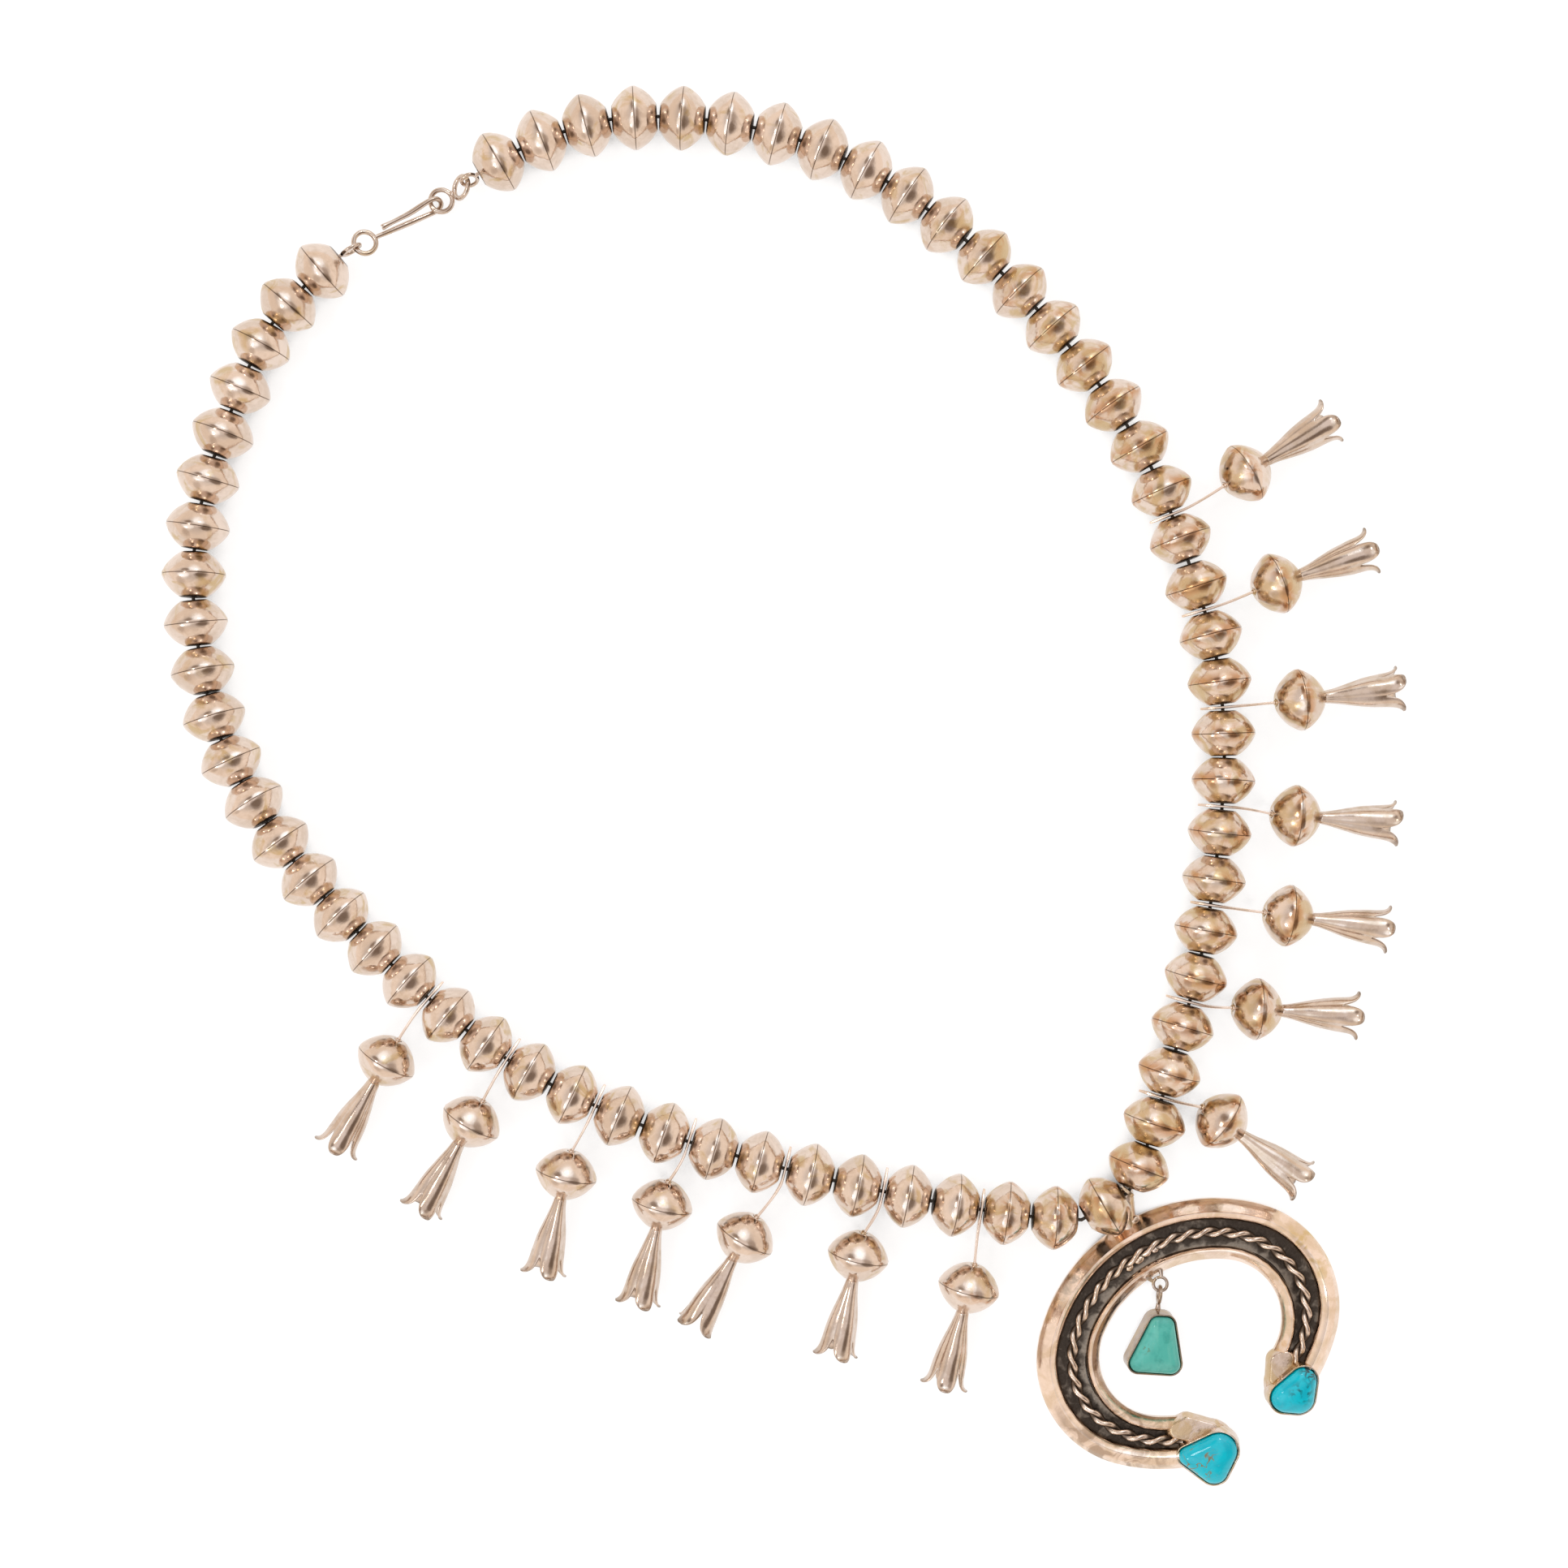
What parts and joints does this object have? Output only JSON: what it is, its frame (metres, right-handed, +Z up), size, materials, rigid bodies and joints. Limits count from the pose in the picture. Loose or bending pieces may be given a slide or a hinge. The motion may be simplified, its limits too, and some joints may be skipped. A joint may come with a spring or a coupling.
{
  "type": "necklace",
  "caption": "Squash blossom necklace of hollow silver beads with blossoms along both sides, a crescent pendant with turquoise tips and drop, and a hook clasp, lying flat and fastened.",
  "frame": {"origin": "centre of the necklace's bounding box on the surface that it lies on", "axes": "+Z up from the surface; +Y towards the clasp's side of the loop, along its longest extent; +X towards the strand with the right-hand blossoms"},
  "size_m": [0.2454, 0.2768, 0.0125],
  "materials": {
    "bead_silver": "worn polished silver with warm tarnish",
    "blossom_silver": "worn polished silver with warm tarnish",
    "naja_silver": "worn polished silver, blackened in the channel",
    "bezel_silver": "worn silver",
    "clasp_silver": "polished silver wire",
    "sky_turquoise": "polished, with brown matrix",
    "green_turquoise": "polished, with pale streaks",
    "thread": "twisted cord"
  },
  "bodies": {
    "root": {"bead_string_right": "bead_silver", "bead_string_left": "bead_silver", "thread": "thread", "blossom_r1": "blossom_silver", "blossom_r2": "blossom_silver", "blossom_r3": "blossom_silver", "blossom_r4": "blossom_silver", "blossom_r5": "blossom_silver", "blossom_r6": "blossom_silver", "blossom_r7": "blossom_silver", "blossom_l1": "blossom_silver", "blossom_l2": "blossom_silver", "blossom_l3": "blossom_silver", "blossom_l4": "blossom_silver", "blossom_l5": "blossom_silver", "blossom_l6": "blossom_silver", "blossom_l7": "blossom_silver", "naja": "naja_silver", "tip_stone_left": "sky_turquoise", "tip_stone_right": "sky_turquoise", "drop_setting": "bezel_silver", "drop_stone": "green_turquoise", "hook": "clasp_silver", "catch_link": "clasp_silver", "end_loop_left": "clasp_silver", "end_loop_right": "clasp_silver"}
  },
  "joints": []
}
